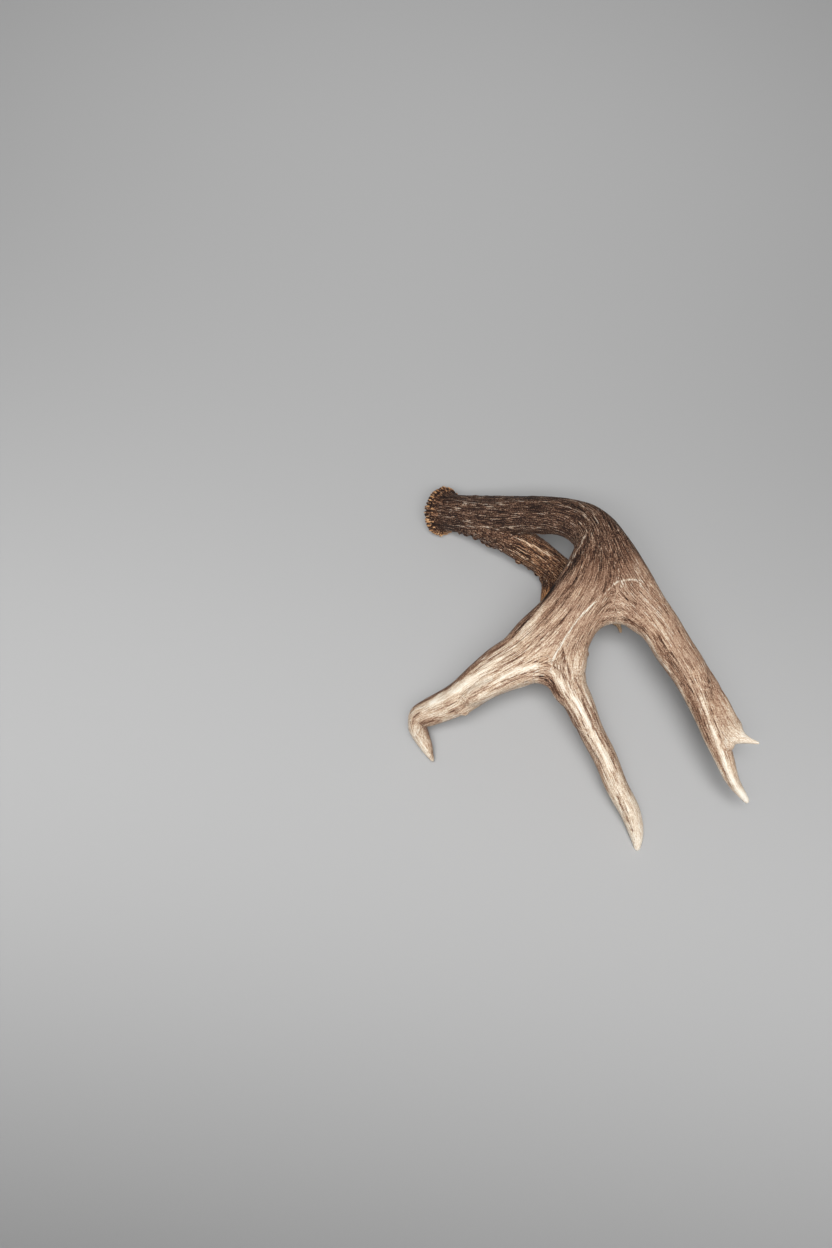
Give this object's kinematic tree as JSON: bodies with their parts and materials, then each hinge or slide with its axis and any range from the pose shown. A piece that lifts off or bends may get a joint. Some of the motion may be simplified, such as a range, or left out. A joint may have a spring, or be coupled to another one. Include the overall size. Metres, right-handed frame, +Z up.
{
  "type": "deer antler",
  "caption": "Shed deer antler lying on a surface: a beam with a knobbed burr bends over and forks into long curved tines, with a forked brow tine at its foot.",
  "frame": {"origin": "the middle of the antler's box, on the surface that it lies on", "axes": "+Z up as it lies on its burr, brow tine and middle tine; +Y from the tips back to the burr, along its longest side; +X from the hooked front tine towards the rear tine"},
  "size_m": [0.289, 0.3564, 0.136],
  "materials": {
    "lower_beam": "satin",
    "brow_tine": "satin",
    "upper_beam": "satin",
    "front_tine": "satin",
    "middle_tine": "satin",
    "rear_tine": "satin"
  },
  "bodies": {
    "root": {"lower_beam": "lower_beam", "brow_tine": "brow_tine", "upper_beam": "upper_beam", "front_tine": "front_tine", "middle_tine": "middle_tine", "rear_tine": "rear_tine"}
  },
  "joints": []
}
